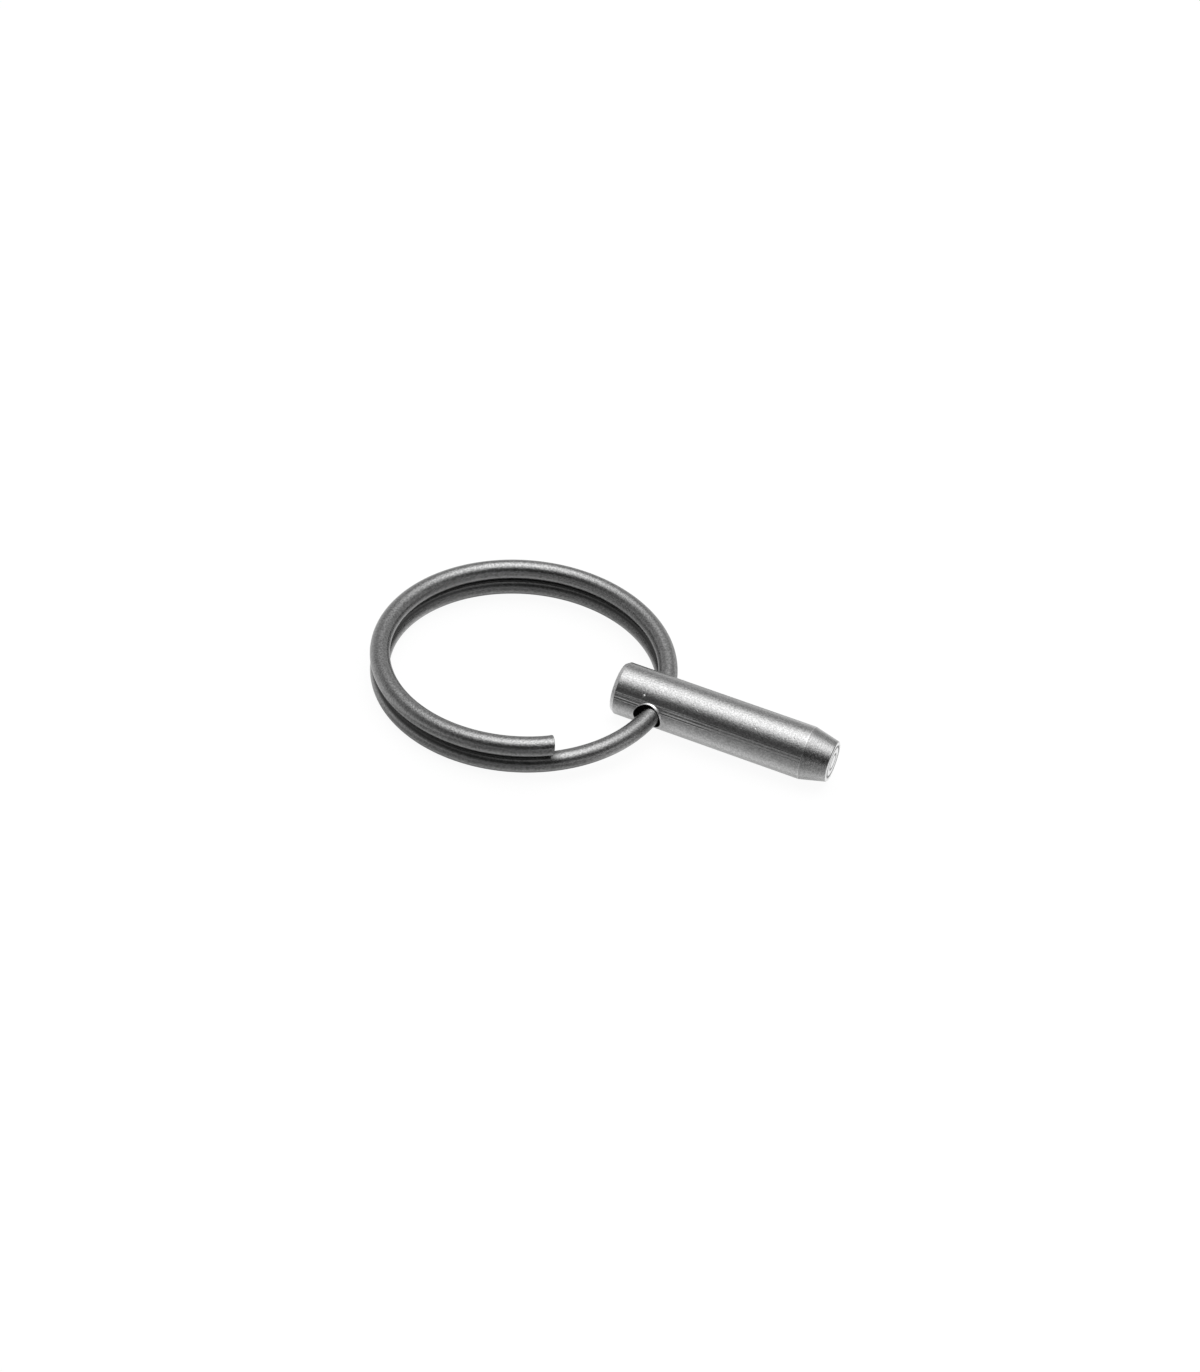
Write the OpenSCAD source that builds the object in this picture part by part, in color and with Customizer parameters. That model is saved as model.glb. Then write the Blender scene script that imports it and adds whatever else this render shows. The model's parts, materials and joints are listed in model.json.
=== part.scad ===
// Locking pin on a split ring.
// A turned steel pin with a tapered lead-in, and a close-wound ring of spring wire through its cross hole.
// The pin lies along X with its tip at +X, and the ring lies beside it on the surface z = 0.

/* [Pin] */
// Diameter of the shank
pin_d = 6; // [5.4:0.1:6.4]
// Length from the head's face to the tip's face
pin_length = 25; // [20:0.5:30]
// Chamfer around the head's face
head_chamfer = 0.3; // [0.1:0.1:0.8]
// Length of the tapered lead-in
taper_length = 3; // [1.5:0.5:5]
// Diameter of the flat tip
tip_d = 4.6; // [3:0.1:5]
// Edge break around the tip's face
tip_break = 0.1; // [0.05:0.05:0.4]

/* [Cross hole] */
// Diameter of the hole
hole_d = 3.25; // [3.2:0.05:3.35]
// Distance from the head's face to the hole's axis
hole_from_head = 4.35; // [3.5:0.05:6]
// Diameter of the countersink at the pin's surface
mouth_d = 3.4; // [3.4:0.05:3.8]
// Turn of the pin about its own axis as it lies
pin_turn = 9; // [5:1:9]

/* [Split ring] */
// Diameter of the spring wire
wire_d = 2.15; // [2:0.05:2.2]
// Mean diameter of the turns
ring_d = 32; // [30:0.5:40]
// Gap between one turn and the next
turn_gap = 0.2; // [0.1:0.05:0.3]
// Angle of wire from the upper end to the hole
upper_angle = 302; // [200:1:340]
// Angle of wire from the hole to the lower end
lower_angle = 344; // [300:1:344]
// Angle from the lower end back to where the lower turn next touches the surface
touch_angle = 200; // [180:1:205]
// Edge break on the square-cut ends
end_break = 0.12; // [0.05:0.01:0.2]

/* [Wire in the hole] */
// Offset of the wire from the hole's axis, towards the tip
wire_offset = 0.37; // [0.25:0.01:0.4]
// Turn of the ring in the hole's play
ring_turn = 4.5; // [3:0.5:5]

/* [Hidden] */

$fn = 96;
section_sides = 24;
section_step = 4;
overshoot = 1;

pin_colour = [0.76, 0.76, 0.77];
wire_colour = [0.36, 0.36, 0.38];

pin_r = pin_d / 2;
head_x = -hole_from_head;
tip_x = head_x + pin_length;
countersink_depth = (mouth_d - hole_d) / 2;

wire_r = wire_d / 2;
ring_r = ring_d / 2;
pitch = wire_d + turn_gap;
rise = pitch / (2 * PI);
end_angle = end_break / ring_r * 180 / PI;

// The ring rests on two points of its lower turn: its end, and a point touch_angle further back.
// The plane through both, tangent to the wire at the second, gives the slopes along and across the end's radius.
touch_arc = touch_angle * PI / 180;
slope_along = -rise * (sin(touch_angle) - touch_arc * cos(touch_angle)) / (1 - cos(touch_angle)) / ring_r;
slope_across = rise * (touch_arc / tan(touch_angle / 2) - 1) / ring_r;
slope_x = slope_along * cos(lower_angle) + slope_across * sin(lower_angle);
slope_y = slope_across * cos(lower_angle) - slope_along * sin(lower_angle);
lean_angle = atan(norm([slope_x, slope_y]));
lean_axis = [-slope_y, slope_x, 0] / norm([slope_x, slope_y]);

// Height of the wire's centre at the hole, with the lower end on the surface.
hole_point_z = wire_r - lean(wire_point(lower_angle)).z;

// The part's origin is below the middle of its outline.
ring_centre = [wire_offset - ring_r * cos(ring_turn), -ring_r * sin(ring_turn)];
outline_min_x = ring_centre.x - ring_r - wire_r;
origin = [(outline_min_x + tip_x) / 2, ring_centre.y, 0];

// Point of the wire's centre line, at an angle counted from the hole towards the lower end.
function wire_point(a) = [ring_r * (cos(a) - 1), -ring_r * sin(a), -pitch * a / 360];

// Unit vectors of the wire's section: away from the ring's axis, and square to that and to the wire.
function outward(a) = [cos(a), -sin(a), 0];
function wire_way(a) = [-ring_r * sin(a), -ring_r * cos(a), -rise] / norm([ring_r, rise]);
function sideways(a) = cross(outward(a), wire_way(a));

// A vector turned with the ring as it leans on the surface.
function lean(v) =
    v * cos(lean_angle)
    + cross(lean_axis, v) * sin(lean_angle)
    + lean_axis * (lean_axis * v) * (1 - cos(lean_angle));

// One circle of the wire's skin, at an angle and a radius.
function section(a, r) = [
    for (i = [0 : section_sides - 1])
        let (turn = 360 * i / section_sides)
            wire_point(a) + r * (cos(turn) * outward(a) + sin(turn) * sideways(a))
];

// Round bar turned to the pin's profile, along Z with its head down.
module turned_bar() {
    rotate_extrude()
        polygon([
            [0, head_x],
            [pin_r - head_chamfer, head_x],
            [pin_r, head_x + head_chamfer],
            [pin_r, tip_x - taper_length],
            [tip_d / 2, tip_x - tip_break],
            [tip_d / 2 - tip_break, tip_x],
            [0, tip_x]
        ]);
}

// Hole across the pin with a countersink at each mouth, along Z and centred.
module cross_hole() {
    cylinder(d = hole_d, h = pin_d + 2 * overshoot, center = true);
    for (side = [0, 180])
        rotate([side, 0, 0])
            translate([0, 0, pin_r - countersink_depth])
                cylinder(d1 = hole_d, d2 = mouth_d + 2 * overshoot, h = countersink_depth + overshoot);
}

// Spring wire swept along the helix of the ring, with its ends cut square and their edges broken.
module wound_wire() {
    first = -upper_angle;
    last = lower_angle;
    steps = round((last - first) / section_step);
    run = (last - first - 2 * end_angle) / steps;
    sections = [
        section(first, wire_r - end_break),
        for (i = [0 : steps]) section(first + end_angle + i * run, wire_r),
        section(last, wire_r - end_break)
    ];
    count = len(sections);
    points = [for (s = sections) each s];
    first_face = [for (i = [section_sides - 1 : -1 : 0]) i];
    last_face = [for (i = [0 : section_sides - 1]) (count - 1) * section_sides + i];
    sides = [
        for (row = [0 : count - 2], i = [0 : section_sides - 1])
            let (
                next = (i + 1) % section_sides,
                here = row * section_sides,
                there = here + section_sides
            )
                each [
                    [here + i, here + next, there + next],
                    [here + i, there + next, there + i]
                ]
    ];
    polyhedron(points, concat([first_face], sides, [last_face]), convexity = 8);
}

module pin() {
    color(pin_colour)
        translate([0, 0, pin_r] - origin)
            difference() {
                rotate([0, 90, 0]) turned_bar();
                rotate([90 + pin_turn, 0, 0]) cross_hole();
            }
}

module split_ring() {
    color(wire_colour)
        translate([wire_offset, 0, hole_point_z] - origin)
            rotate([0, 0, ring_turn])
                rotate(a = lean_angle, v = lean_axis)
                    wound_wire();
}

pin();
split_ring();
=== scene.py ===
"""A locking pin on its split ring: a bright turned steel pin, and dark spring wire wound through its hole.

Lengths are in millimetres and angles in degrees until a mesh, a lamp or a formula needs metres or radians.
The pin lies along X with its tip at +X, and both pieces lie on the table, z = 0.
"""

import json
import logging
from dataclasses import dataclass, field
from enum import Enum
from typing import Any

import bmesh
import bpy
import numpy as np
from mathutils import Matrix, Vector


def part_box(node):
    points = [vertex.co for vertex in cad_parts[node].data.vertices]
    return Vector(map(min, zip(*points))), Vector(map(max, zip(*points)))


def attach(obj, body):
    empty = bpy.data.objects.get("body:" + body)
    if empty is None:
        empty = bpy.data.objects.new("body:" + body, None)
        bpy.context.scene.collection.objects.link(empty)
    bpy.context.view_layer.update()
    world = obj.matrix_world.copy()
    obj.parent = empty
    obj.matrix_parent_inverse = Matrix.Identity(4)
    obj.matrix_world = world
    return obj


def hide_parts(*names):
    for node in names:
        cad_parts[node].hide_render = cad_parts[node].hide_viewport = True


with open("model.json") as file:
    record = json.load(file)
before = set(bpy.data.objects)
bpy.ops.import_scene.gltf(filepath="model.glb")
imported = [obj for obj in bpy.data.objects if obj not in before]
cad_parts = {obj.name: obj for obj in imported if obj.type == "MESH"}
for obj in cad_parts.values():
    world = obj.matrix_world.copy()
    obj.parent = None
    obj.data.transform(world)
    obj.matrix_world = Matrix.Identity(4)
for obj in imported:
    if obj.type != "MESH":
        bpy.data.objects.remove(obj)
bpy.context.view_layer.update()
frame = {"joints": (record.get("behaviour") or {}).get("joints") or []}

Array = np.ndarray
Node = bpy.types.Node
Socket = bpy.types.NodeSocket
Tree = bpy.types.NodeTree

MM = 0.001
PIN_WAY = np.array([1.0, 0.0, 0.0])
UP = np.array([0.0, 0.0, 1.0])
JOINT = frame["joints"][0]
HOLE_CENTRE = np.array(JOINT["pos_m"]) / MM
WIRE_PLACE = "straightened_wire"
# Painted shade on the wire's lower turn, where the upper turn shades it, kept on its points.
WIRE_TURN_SHADE = "painted_shade_between_turns"

# Sockets of a Mix node that mixes colours, by number, because sockets of other kinds share their names.
MIX_SHARE = 0
MIX_FIRST = 6
MIX_SECOND = 7
MIX_RESULT = 2

log = logging.getLogger("locking_pin")


def linear(hex_colour: str) -> tuple[float, float, float, float]:
    """Turns an sRGB hex colour into the linear colour that a socket takes, by the sRGB curve.

    Args:
        hex_colour: Six hex digits after a hash sign.

    Returns:
        Red, green, blue and an alpha of one.
    """
    srgb = np.array([int(hex_colour[i : i + 2], 16) for i in (1, 3, 5)]) / 255
    light = np.where(srgb <= 0.04045, srgb / 12.92, ((srgb + 0.055) / 1.055) ** 2.4)
    return (*light.tolist(), 1.0)


def empty_tree(owner: bpy.types.Material | bpy.types.World) -> Tree:
    """Gives a material or a world a node tree with nothing in it.

    Args:
        owner: The material or the world.

    Returns:
        The tree.
    """
    owner.use_nodes = True
    owner.node_tree.nodes.clear()
    return owner.node_tree


def add_node(tree: Tree, kind: str, inputs: dict[str | int, Any], **settings: Any) -> Node:
    """Adds one node to a tree, with its settings and its inputs.

    Args:
        tree: The node tree of a material or of the world.
        kind: Blender's name of the node's type.
        inputs: Values, sockets, or nodes that link from their first output, by the input's name or number.
        settings: The node's own properties.

    Returns:
        The new node.
    """
    node = tree.nodes.new(kind)
    for name, value in settings.items():
        setattr(node, name, value)
    for name, value in inputs.items():
        source = value.outputs[0] if isinstance(value, Node) else value
        if isinstance(source, Socket):
            tree.links.new(source, node.inputs[name])
        else:
            node.inputs[name].default_value = source
    return node


def unit(vector: Array) -> Array:
    """Gives vectors of length one along the last axis."""
    return vector / np.linalg.norm(vector, axis=-1, keepdims=True)


def smooth_step(value: Array, first: float, last: float) -> Array:
    """Gives 0 up to first and 1 from last on, and between them three squares less two cubes of the share."""
    share = np.clip((value - first) / (last - first), 0, 1)
    return share**2 * (3 - 2 * share)


def turned(vector: Array, axis: Array, angle: float) -> Array:
    """Turns vectors about an axis through the origin: the part along the axis stays, the rest goes round.

    Args:
        vector: Vectors along the last axis of an array.
        axis: The unit vector of the axis.
        angle: The angle in degrees.

    Returns:
        The turned vectors.
    """
    turn = np.radians(angle)
    along = (vector @ axis)[..., None] * axis
    return along + (vector - along) * np.cos(turn) + np.cross(axis, vector) * np.sin(turn)


def rounded(corners: Array, radii: list[float], steps: int, hold: float) -> Array:
    """Rounds the corners of an open outline with arcs.

    An arc touches both sides of its corner at the radius over the tangent of half the angle between them. A
    further point lies hold beyond each end of the arc, so that smooth shading stays within the rounding.

    Args:
        corners: Points of the outline, one row each.
        radii: The radius at each inner corner.
        steps: Segments of one arc.
        hold: Distance from an arc's end to the point that holds the shading.

    Returns:
        Points of the rounded outline, with its first and last corner.
    """
    pieces = [corners[:1]]
    for before, corner, after, radius in zip(corners, corners[1:], corners[2:], radii):
        back, on = unit(before - corner), unit(after - corner)
        half = np.arccos(np.clip(back @ on, -1, 1)) / 2
        reach = radius / np.tan(half)
        centre = corner + unit(back + on) * radius / np.sin(half)
        first, last = corner + back * reach - centre, corner + on * reach - centre
        sweep = np.pi - 2 * half
        share = np.linspace(0, 1, steps + 1)[:, None]
        arc = (np.sin((1 - share) * sweep) * first + np.sin(share * sweep) * last) / np.sin(sweep)
        holds = corner + np.stack([back, on]) * (reach + hold)
        pieces += [holds[:1], centre + arc, holds[1:]]
    return np.concatenate([*pieces, corners[-1:]])


def quads(ids: Array, closed: bool = False) -> Array:
    """Makes the faces between neighbouring rows of a grid of vertex numbers.

    Args:
        ids: Vertex numbers, one row of the surface to a row.
        closed: True where the last column joins the first.

    Returns:
        Four vertex numbers for each face.
    """
    if closed:
        ids = np.concatenate([ids, ids[:, :1]], axis=1)
    return np.stack([ids[:-1, :-1], ids[:-1, 1:], ids[1:, 1:], ids[1:, :-1]], -1).reshape(-1, 4)


def fan(ring: Array, pole: int) -> Array:
    """Makes the triangles from a closed ring of vertex numbers to the vertex at its pole."""
    return np.stack([ring, np.roll(ring, -1), np.full_like(ring, pole)], -1)


@dataclass
class Shell:
    """A closed surface in the making: its points in millimetres, and its faces with their material slots."""

    points: list[Array] = field(default_factory=list)
    faces: list[Array] = field(default_factory=list)
    slots: list[int] = field(default_factory=list)

    def add_points(self, points: Array) -> Array:
        """Takes in points.

        Args:
            points: Points along the last axis of an array.

        Returns:
            Their vertex numbers, in the layout of the array.
        """
        first = sum(len(group) for group in self.points)
        self.points.append(points.reshape(-1, 3))
        return first + np.arange(points[..., 0].size).reshape(points.shape[:-1])

    def add_faces(self, faces: Array, slot: Enum) -> None:
        """Takes in faces of one material slot, as rows of vertex numbers."""
        self.faces.append(faces)
        self.slots.append(slot.value)

    def piece(self, name: str) -> bpy.types.Object:
        """Puts the surface into a mesh object at the origin, with its faces outwards and shaded smooth.

        Args:
            name: The object's name.

        Returns:
            The new object.
        """
        mesh = bpy.data.meshes.new(name)
        points = np.concatenate(self.points) * MM
        mesh.from_pydata(points.tolist(), [], [face for group in self.faces for face in group.tolist()])
        slot_of_face = np.repeat(self.slots, [len(group) for group in self.faces])
        mesh.polygons.foreach_set("material_index", slot_of_face.astype(np.int32))
        mesh.polygons.foreach_set("use_smooth", np.ones(len(slot_of_face), bool))
        shell = bmesh.new()
        shell.from_mesh(mesh)
        bmesh.ops.recalc_face_normals(shell, faces=shell.faces)
        shell.to_mesh(mesh)
        shell.free()
        piece = bpy.data.objects.new(name, mesh)
        bpy.context.scene.collection.objects.link(piece)
        return piece


@dataclass(frozen=True)
class BareSteel:
    """Bare steel: a metal whose grain and tool marks break up what it mirrors.

    The real grain and marks are too fine to show in the picture, so grain_mm and mark_mm draw them coarser.
    """

    name: str
    colour: str
    stain: str
    roughness: float
    roughness_spread: float
    grain_mm: float
    grain_depth_mm: float
    mark_mm: float
    mark_depth_mm: float
    grain_low: float = 0.38  # the noise from here to grain_high is spread from 0 to 1
    grain_high: float = 0.62
    grain_bite: float = 0.7  # how much of the noise is in its finer steps
    noise_detail: float = 3.0
    line_stretch: float = 80.0  # length of a drawn line over its width

    def place(self, tree: Tree) -> Socket:
        """Gives the point on the piece in millimetres from the middle of the cross hole.

        Args:
            tree: The material's node tree.

        Returns:
            The socket that holds the point.
        """
        spot = add_node(tree, "ShaderNodeTexCoord", {})
        scaled = {"Vector": spot.outputs["Object"], "Location": -HOLE_CENTRE, "Scale": [1 / MM] * 3}
        return add_node(tree, "ShaderNodeMapping", scaled).outputs["Vector"]

    def marks(self, tree: Tree, place: Socket) -> Socket:
        """Gives the height of the tool marks, from 0 to 1: noise stretched to lines along X, as by drawing.

        Args:
            tree: The material's node tree.
            place: The point on the piece in millimetres.

        Returns:
            The socket that holds the height.
        """
        line_length = self.line_stretch * self.mark_mm
        squeezed = {"Vector": place, "Scale": [1 / line_length, 1 / self.mark_mm, 1 / self.mark_mm]}
        along = add_node(tree, "ShaderNodeMapping", squeezed)
        lines = {"Vector": along, "Scale": 1.0, "Detail": self.noise_detail}
        return add_node(tree, "ShaderNodeTexNoise", lines).outputs[0]

    def shade(self, tree: Tree, place: Socket, grain: Node, marks: Socket) -> Node:
        """Gives the share of the clean colour against the stain, here by the grain alone."""
        return grain

    def tint(self, tree: Tree, shade: Node) -> Socket:
        """Gives the colour between the stain and the clean colour."""
        parts = {MIX_SHARE: shade, MIX_FIRST: linear(self.stain), MIX_SECOND: linear(self.colour)}
        return add_node(tree, "ShaderNodeMix", parts, data_type="RGBA").outputs[MIX_RESULT]

    def material(self) -> bpy.types.Material:
        """Makes the material: mottled colour and gloss, and marks and grain as bump.

        Returns:
            The new material.
        """
        material = bpy.data.materials.new(self.name)
        tree = empty_tree(material)
        place = self.place(tree)
        marks = self.marks(tree, place)
        speckle = {"Vector": place, "Scale": 1 / self.grain_mm, "Detail": self.noise_detail}
        noise = add_node(tree, "ShaderNodeTexNoise", {**speckle, "Roughness": self.grain_bite})
        clear = {"Value": noise, "From Min": self.grain_low, "From Max": self.grain_high}
        grain = add_node(tree, "ShaderNodeMapRange", clear)
        gloss = {
            "Value": grain,
            "To Min": self.roughness - self.roughness_spread,
            "To Max": self.roughness + self.roughness_spread,
        }
        roughness = add_node(tree, "ShaderNodeMapRange", gloss)
        lined = add_node(tree, "ShaderNodeBump", {"Height": marks, "Distance": self.mark_depth_mm * MM})
        pits = {"Height": grain, "Distance": self.grain_depth_mm * MM, "Normal": lined}
        skin = {
            "Metallic": 1.0,
            "Base Color": self.tint(tree, self.shade(tree, place, grain, marks)),
            "Roughness": roughness,
            "Normal": add_node(tree, "ShaderNodeBump", pits),
        }
        shader = add_node(tree, "ShaderNodeBsdfPrincipled", skin)
        add_node(tree, "ShaderNodeOutputMaterial", {"Surface": shader})
        return material


@dataclass(frozen=True)
class Nick:
    """A small bump in the bar's skin, or a dent where its rise, counted in mark depths, is below 0."""

    along_mm: float
    angle: float
    radius_mm: float
    rise: float


@dataclass(frozen=True)
class DrawnBar(BareSteel):
    """Steel drawn to bar: a few lines run along it on one side, deep at the head, and small nicks lie on it.

    Angles round the bar count from level at the front, upwards.
    """

    line_angle: float = 24.3  # where the wave of lines begins
    line_spacing: float = 6.7
    lines_low: float = 11.0
    lines_high: float = 27.0
    lines_soft: float = 2.5  # over which the lines run out above and below
    fade_from_mm: float = 3.0
    fade_to_mm: float = 9.0
    fade_share: float = 0.25  # what is left of the lines from fade_to_mm on
    nicks: tuple[Nick, ...] = (
        Nick(along_mm=-0.85, angle=38.5, radius_mm=0.2, rise=3.6),
        Nick(along_mm=3.8, angle=36.0, radius_mm=0.12, rise=-0.8),
        Nick(along_mm=5.3, angle=45.0, radius_mm=0.12, rise=0.8),
        Nick(along_mm=10.5, angle=41.0, radius_mm=0.13, rise=0.8),
        Nick(along_mm=12.0, angle=52.5, radius_mm=0.14, rise=-0.8),
        Nick(along_mm=16.3, angle=58.7, radius_mm=0.12, rise=-0.8),
    )
    bar_radius: float = 3.0

    def marks(self, tree: Tree, place: Socket) -> Socket:
        """Gives the height of the lines and nicks.

        The lines are a sine of the angle round the bar, kept to one side by a soft window and faded along the
        bar by smooth steps. A nick is a smooth step of the distance from its middle.

        Args:
            tree: The material's node tree.
            place: The point on the piece in millimetres.

        Returns:
            The socket that holds the height.
        """
        part = add_node(tree, "ShaderNodeSeparateXYZ", {0: place})
        front = add_node(tree, "ShaderNodeMath", {0: part.outputs["Y"], 1: -1.0}, operation="MULTIPLY")
        turn = add_node(tree, "ShaderNodeMath", {0: part.outputs["Z"], 1: front}, operation="ARCTAN2")
        line, spacing, low, high, soft = np.radians(
            [self.line_angle, self.line_spacing, self.lines_low, self.lines_high, self.lines_soft]
        ).tolist()
        cycle = {"Value": turn, "From Min": line, "From Max": line + spacing, "To Max": 2 * np.pi}
        phase = add_node(tree, "ShaderNodeMapRange", cycle, clamp=False)
        height = add_node(tree, "ShaderNodeMath", {0: phase}, operation="SINE")
        for value, outside, inside, least in (
            (turn, low, low + soft, 0.0),
            (turn, high + soft, high, 0.0),
            (part.outputs["X"], self.fade_to_mm, self.fade_from_mm, self.fade_share),
        ):
            ends = {"Value": value, "From Min": outside, "From Max": inside, "To Min": least}
            share = add_node(tree, "ShaderNodeMapRange", ends, interpolation_type="SMOOTHSTEP")
            height = add_node(tree, "ShaderNodeMath", {0: height, 1: share}, operation="MULTIPLY")
        for nick in self.nicks:
            slant = np.radians(nick.angle)
            spot = [nick.along_mm, -self.bar_radius * np.cos(slant), self.bar_radius * np.sin(slant)]
            away = add_node(tree, "ShaderNodeVectorMath", {0: place, 1: spot}, operation="DISTANCE")
            dome = {"Value": away.outputs["Value"], "From Min": nick.radius_mm, "From Max": 0.0}
            dome["To Max"] = nick.rise
            lift = add_node(tree, "ShaderNodeMapRange", dome, interpolation_type="SMOOTHSTEP")
            height = add_node(tree, "ShaderNodeMath", {0: height, 1: lift}, operation="ADD")
        return height.outputs[0]


@dataclass(frozen=True)
class TurnedSteel(BareSteel):
    """Steel cut on a lathe: fine rings about the pin's axis."""

    ring_detail: float = 2.0

    def radius(self, tree: Tree, place: Socket) -> Socket:
        """Gives the distance from the pin's axis."""
        across = add_node(tree, "ShaderNodeVectorMath", {0: place, 1: 1 - PIN_WAY}, operation="MULTIPLY")
        return add_node(tree, "ShaderNodeVectorMath", {0: across}, operation="LENGTH").outputs["Value"]

    def marks(self, tree: Tree, place: Socket) -> Socket:
        """Gives the height of the rings: noise in one dimension over the radius less the place along the pin.

        Args:
            tree: The material's node tree.
            place: The point on the piece in millimetres.

        Returns:
            The socket that holds the height.
        """
        along = add_node(tree, "ShaderNodeSeparateXYZ", {0: place})
        ends = {0: self.radius(tree, place), 1: along.outputs["X"]}
        feed = add_node(tree, "ShaderNodeMath", ends, operation="SUBTRACT")
        rings = {"W": feed, "Scale": 1 / self.mark_mm, "Detail": self.ring_detail}
        return add_node(tree, "ShaderNodeTexNoise", rings, noise_dimensions="1D").outputs[0]


@dataclass(frozen=True)
class Groove:
    """A ring that the facing tool left on the tip, with the share of painted shade at its bottom."""

    radius_mm: float
    painted_shade_width_mm: float
    painted_shade: float


@dataclass(frozen=True)
class FacedSteel(TurnedSteel):
    """Steel faced on a lathe: painted shade lies in rings at the grooves that the tool left."""

    grooves: tuple[Groove, ...] = (
        Groove(radius_mm=1.75, painted_shade_width_mm=0.55, painted_shade=1.0),
        Groove(radius_mm=0.9, painted_shade_width_mm=0.5, painted_shade=0.9),
    )
    ring_stain: float = 0.2  # how far the stain shows in the fine rings

    def shade(self, tree: Tree, place: Socket, grain: Node, marks: Socket) -> Node:
        """Gives the share of the clean colour: the rings' height, times what the painted shade at each groove
        leaves.

        Args:
            tree: The material's node tree.
            place: The point on the piece in millimetres.
            grain: The grain, from 0 to 1. Not used.
            marks: The height of the rings.

        Returns:
            The node that gives the share.
        """
        radius = self.radius(tree, place)
        clear = {"Value": marks, "From Min": self.grain_low, "From Max": self.grain_high}
        share = add_node(tree, "ShaderNodeMapRange", {**clear, "To Min": 1 - self.ring_stain})
        for groove in self.grooves:
            off = add_node(tree, "ShaderNodeMath", {0: radius, 1: groove.radius_mm}, operation="SUBTRACT")
            away = add_node(tree, "ShaderNodeMath", {0: off}, operation="ABSOLUTE")
            ends = {"Value": away, "From Max": groove.painted_shade_width_mm / 2, "To Min": 1 - groove.painted_shade}
            clean = add_node(tree, "ShaderNodeMapRange", ends, interpolation_type="SMOOTHSTEP")
            share = add_node(tree, "ShaderNodeMath", {0: share, 1: clean}, operation="MULTIPLY")
        return share


@dataclass(frozen=True)
class DrawnWire(BareSteel):
    """Steel drawn to wire: its lines follow the wire round the ring."""

    # The colour of the painted shade where the turns meet.
    turn_shade_colour: str = "#565656"

    def place(self, tree: Tree) -> Socket:
        """Gives the point on the wire as if it were pulled straight, in millimetres."""
        return add_node(tree, "ShaderNodeAttribute", {}, attribute_name=WIRE_PLACE).outputs["Vector"]

    def tint(self, tree: Tree, shade: Node) -> Socket:
        """Gives the wire's colour, darkened by painted shade where the turns meet.

        Args:
            tree: The material's node tree.
            shade: The share of the clean colour against the stain.

        Returns:
            The socket that holds the colour.
        """
        turn_shade = add_node(tree, "ShaderNodeAttribute", {}, attribute_name=WIRE_TURN_SHADE).outputs["Fac"]
        parts = {MIX_SHARE: turn_shade, MIX_FIRST: super().tint(tree, shade), MIX_SECOND: linear(self.turn_shade_colour)}
        return add_node(tree, "ShaderNodeMix", parts, data_type="RGBA").outputs[MIX_RESULT]


# Cold-drawn bright bar: a silvery grey that mirrors the room in soft bands, with a few lines along one side.
BRIGHT_BAR = DrawnBar(
    name="bright_drawn_steel", colour="#C8C8C8", stain="#A4A4A4", roughness=0.2, roughness_spread=0.03,
    grain_mm=0.18, grain_depth_mm=0.005, mark_mm=0.35, mark_depth_mm=0.024,
)

# Tapered on a lathe: a little darker than the bar, with fine rings across it.
TURNED_TAPER = TurnedSteel(
    name="turned_steel", colour="#BEBEBE", stain="#989898", roughness=0.25, roughness_spread=0.04,
    grain_mm=0.18, grain_depth_mm=0.004, mark_mm=0.2, mark_depth_mm=0.016,
)

# Faced on a lathe: freshly cut, and painted near white, which is partly a painted highlight.
# Its near-black stain is painted shade in rings at the tool's grooves, and shows a little in the fine rings.
FACED_END = FacedSteel(
    name="faced_steel", colour="#FFFFFF", stain="#141414", roughness=0.3, roughness_spread=0.05,
    grain_mm=0.22, grain_depth_mm=0.003, mark_mm=0.12, mark_depth_mm=0.006,
)

# Chamfered on a lathe, and dull: painted paler than the bar, a painted highlight on the chamfer and on a thin
# line past the taper's corner.
CHAMFER_AND_CORNER_HIGHLIGHT = TurnedSteel(
    name="chamfer_and_corner_painted_highlight", colour="#F4F4F4", stain="#E4E4E4", roughness=0.3, roughness_spread=0.05,
    grain_mm=0.2, grain_depth_mm=0.006, mark_mm=0.12, mark_depth_mm=0.006,
)

# Drilled through: painted dark, as painted shade for the inside of the hole, which is hardly lit.
BORE_PAINTED_SHADE = TurnedSteel(
    name="drilled_steel_painted_shade", colour="#4A4A4A", stain="#383838", roughness=0.4, roughness_spread=0.05,
    grain_mm=0.2, grain_depth_mm=0.01, mark_mm=0.2, mark_depth_mm=0.012,
)

# Oil-tempered spring wire: grey and satin, with a fine grain in its highlight, and painted shade on the lower
# turn where the upper turn shades it.
DARK_WIRE = DrawnWire(
    name="spring_steel_wire", colour="#B2B2B2", stain="#888888", roughness=0.2, roughness_spread=0.03,
    grain_mm=0.2, grain_depth_mm=0.006, mark_mm=0.15, mark_depth_mm=0.003,
)

# The wire where it was cut: torn, and so rougher than its skin.
CUT_WIRE = DrawnWire(
    name="sheared_steel", colour="#B4B4B4", stain="#8C8C8C", roughness=0.5, roughness_spread=0.08,
    grain_mm=0.15, grain_depth_mm=0.02, mark_mm=0.3, mark_depth_mm=0.01,
)


class PinSkin(Enum):
    """The stretches of the pin's surface, by their material slot."""

    DRAWN = 0
    TAPER = 1
    FACED = 2
    BORE = 3
    CHAMFER = 4


class Mouth(Enum):
    """The two mouths of the cross hole, by their side along its axis."""

    FAR = 1
    NEAR = -1


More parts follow.
